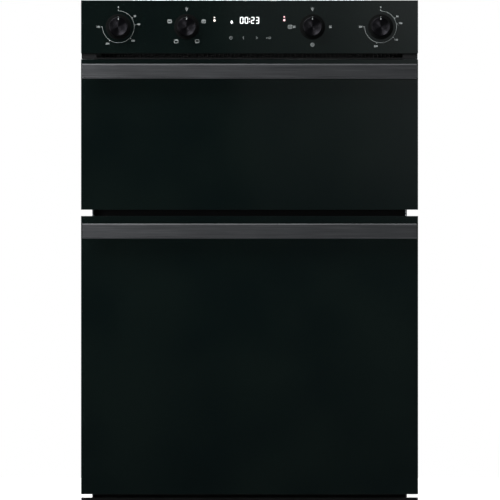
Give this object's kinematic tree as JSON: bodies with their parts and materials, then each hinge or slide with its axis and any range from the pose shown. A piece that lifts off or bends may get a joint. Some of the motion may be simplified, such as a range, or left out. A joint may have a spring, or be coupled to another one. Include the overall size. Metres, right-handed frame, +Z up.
{
  "type": "wall oven",
  "caption": "Built-in double wall oven with two drop-down black glass doors, bar handles, rotary knobs and a central timer display on a black glass control panel.",
  "frame": {"origin": "Bottom centre of the whole oven, level with the underside of the base and of the front lip.", "axes": "+Z up, the doors and the control panel face -Y, +X to the right as seen from the front."},
  "size_m": [0.595, 0.612, 0.888],
  "materials": {
    "black_glass": "Toughened glass, black behind, glossy",
    "clear_glass": "Clear heat-resisting glass",
    "dark_aluminium": "Dark grey brushed and anodised aluminium",
    "knob_finish": "Black knob with a dark spun-metal face",
    "black_plastic": "Black moulded plastic, satin",
    "pale_plastic": "Off-white heat-resisting plastic",
    "black_enamel": "Black enamelled sheet steel, semi-gloss",
    "cavity_enamel": "Dark grey-blue vitreous enamel on sheet steel",
    "galvanised_steel": "Galvanised sheet steel",
    "bright_steel": "Plain zinc-plated steel",
    "element_steel": "Dark oxidised steel sheath",
    "chromed_wire": "Chromed steel wire",
    "seal_rubber": "Heat-resisting rubber seal, matt black",
    "mineral_wool": "Pale yellow mineral wool"
  },
  "bodies": {
    "chassis": {"control_panel": "black_glass", "panel_support": "black_plastic", "timer_module": "black_plastic", "front_frame": "black_enamel", "mounting_flange_left": "galvanised_steel", "mounting_flange_right": "galvanised_steel", "side_panel_left": "galvanised_steel", "side_panel_right": "galvanised_steel", "back_panel": "galvanised_steel", "top_cover": "galvanised_steel", "base_panel": "black_enamel", "terminal_cover": "black_plastic", "upper_cavity": "cavity_enamel", "lower_cavity": "cavity_enamel", "upper_insulation": "mineral_wool", "lower_insulation": "mineral_wool", "upper_lamp": "clear_glass", "lower_lamp": "clear_glass", "grill_element": "element_steel", "ring_element": "element_steel", "fan_motor": "bright_steel", "fan_cover": "cavity_enamel", "cooling_fan_housing": "galvanised_steel", "lower_side_rack_left": "chromed_wire", "lower_side_rack_right": "chromed_wire", "knob_ring_upper_temperature": "black_plastic", "switch_upper_temperature": "pale_plastic", "knob_ring_upper_function": "black_plastic", "switch_upper_function": "pale_plastic", "knob_ring_lower_function": "black_plastic", "switch_lower_function": "pale_plastic", "knob_ring_lower_temperature": "black_plastic", "switch_lower_temperature": "pale_plastic", "upper_door_seal": "seal_rubber", "upper_hinge_left": "galvanised_steel", "upper_hinge_right": "galvanised_steel", "lower_door_seal": "seal_rubber", "lower_hinge_left": "galvanised_steel", "lower_hinge_right": "galvanised_steel"},
    "upper_door": {"upper_door_outer_glass": "black_glass", "upper_door_frame": "black_enamel", "upper_door_inner_glass": "clear_glass", "upper_door_handle": "dark_aluminium", "upper_hinge_arm_left": "bright_steel", "upper_hinge_arm_right": "bright_steel"},
    "lower_door": {"lower_door_outer_glass": "black_glass", "lower_door_frame": "black_enamel", "lower_door_middle_glass": "clear_glass", "lower_door_inner_glass": "clear_glass", "lower_door_handle": "dark_aluminium", "lower_hinge_arm_left": "bright_steel", "lower_hinge_arm_right": "bright_steel"},
    "upper_temperature_knob": {"knob_upper_temperature": "knob_finish"},
    "upper_function_knob": {"knob_upper_function": "knob_finish"},
    "lower_function_knob": {"knob_lower_function": "knob_finish"},
    "lower_temperature_knob": {"knob_lower_temperature": "knob_finish"},
    "convection_fan_wheel": {"convection_fan": "bright_steel"},
    "cooling_fan_wheel": {"cooling_fan": "bright_steel"},
    "upper_wire_shelf": {"upper_shelf": "chromed_wire"},
    "lower_wire_shelf": {"lower_shelf": "chromed_wire"}
  },
  "joints": [
    {"name": "upper_door_hinge", "type": "hinge", "parent": "chassis", "child": "upper_door", "pos_m": [0, -0.251, 0.5273], "axis": [1, 0, 0], "range_deg": [0, 90], "stiffness_Nm_per_rad": 1.2, "springref_deg": -57.3},
    {"name": "lower_door_hinge", "type": "hinge", "parent": "chassis", "child": "lower_door", "pos_m": [0, -0.251, 0.025], "axis": [1, 0, 0], "range_deg": [0, 90], "stiffness_Nm_per_rad": 4, "springref_deg": -51.57},
    {"name": "upper_temperature_turn", "type": "hinge", "parent": "chassis", "child": "upper_temperature_knob", "pos_m": [-0.2315, -0.272, 0.84115], "axis": [0, 1, 0], "range_deg": [0, 270]},
    {"name": "upper_function_turn", "type": "hinge", "parent": "chassis", "child": "upper_function_knob", "pos_m": [-0.111, -0.272, 0.84115], "axis": [0, 1, 0], "continuous": true},
    {"name": "lower_function_turn", "type": "hinge", "parent": "chassis", "child": "lower_function_knob", "pos_m": [0.111, -0.272, 0.84115], "axis": [0, 1, 0], "continuous": true},
    {"name": "lower_temperature_turn", "type": "hinge", "parent": "chassis", "child": "lower_temperature_knob", "pos_m": [0.2315, -0.272, 0.84115], "axis": [0, 1, 0], "range_deg": [0, 270]},
    {"name": "convection_fan_spin", "type": "hinge", "parent": "chassis", "child": "convection_fan_wheel", "pos_m": [0, 0.171, 0.2475], "axis": [0, 1, 0], "continuous": true},
    {"name": "cooling_fan_spin", "type": "hinge", "parent": "chassis", "child": "cooling_fan_wheel", "pos_m": [0, 0.1919, 0.8], "axis": [0, 0, 1], "continuous": true},
    {"name": "upper_shelf_slide", "type": "slide", "parent": "chassis", "child": "upper_wire_shelf", "axis": [0, -1, 0], "range_m": [0, 0.158]},
    {"name": "lower_shelf_slide", "type": "slide", "parent": "chassis", "child": "lower_wire_shelf", "axis": [0, -1, 0], "range_m": [0, 0.268]}
  ],
  "couplings": [
    {"joint": "upper_shelf_slide", "follows": "upper_door_hinge", "m_per_rad": 0.1},
    {"joint": "lower_shelf_slide", "follows": "lower_door_hinge", "m_per_rad": 0.17}
  ]
}
